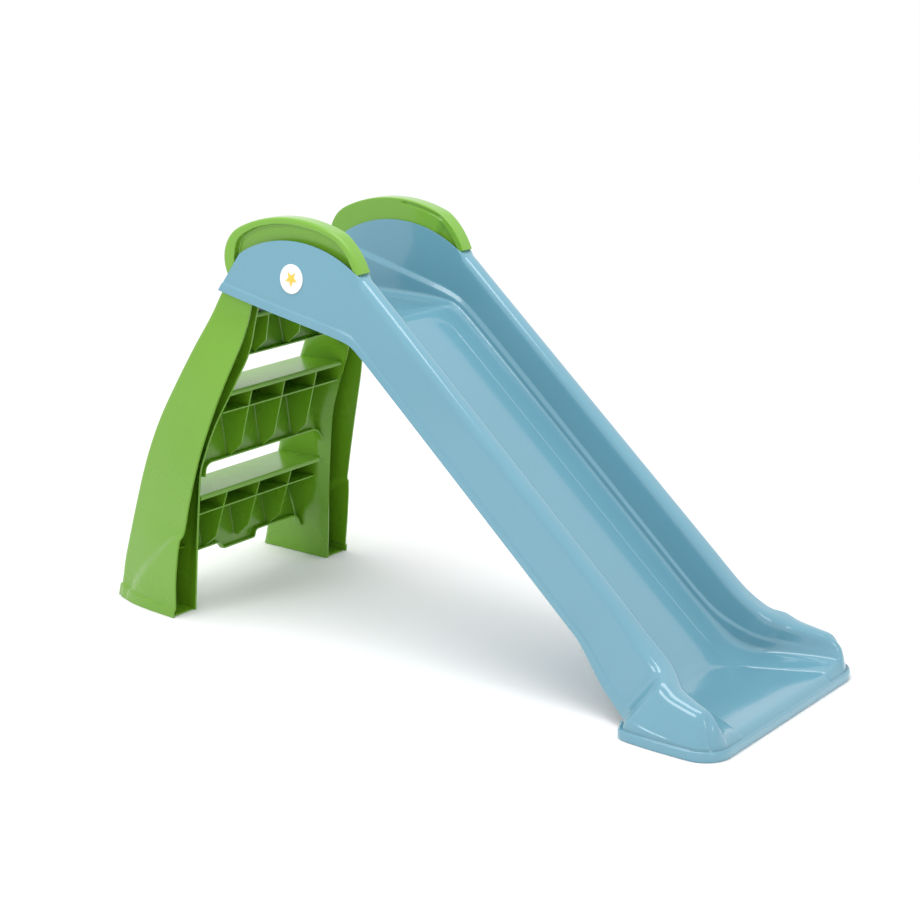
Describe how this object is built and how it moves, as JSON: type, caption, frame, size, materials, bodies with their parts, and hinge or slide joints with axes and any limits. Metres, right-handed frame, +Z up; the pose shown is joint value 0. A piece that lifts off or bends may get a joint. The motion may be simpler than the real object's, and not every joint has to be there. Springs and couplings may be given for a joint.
{
  "type": "toddler slide",
  "caption": "Folding first slide for toddlers: one-piece chute with platform, handrails and a step ladder that folds underneath.",
  "frame": {"origin": "on the floor, at the centre of the bounding box's footprint", "axes": "+X towards the slide's exit, +Y to the left of a child facing the exit, +Z up"},
  "size_m": [1.16, 0.44, 0.66],
  "materials": {
    "slide_blue": "glossy injection-moulded",
    "ladder_green": "semi-gloss injection-moulded",
    "handrail_green": "semi-gloss injection-moulded",
    "pin_plastic": "plain moulded",
    "badge_white": "printed label"
  },
  "bodies": {
    "slide": {"slide_shell": "slide_blue", "handrail_left": "handrail_green", "handrail_right": "handrail_green", "badge_left": "badge_white", "badge_right": "badge_white"},
    "ladder": {"ladder_frame": "ladder_green", "pivot_pin_left": "pin_plastic", "pivot_pin_right": "pin_plastic"}
  },
  "joints": [
    {"name": "ladder_fold", "type": "hinge", "parent": "slide", "child": "ladder", "pos_m": [-0.25, 0, 0.56], "axis": [0, -1, 0], "range_deg": [0, 68]}
  ]
}
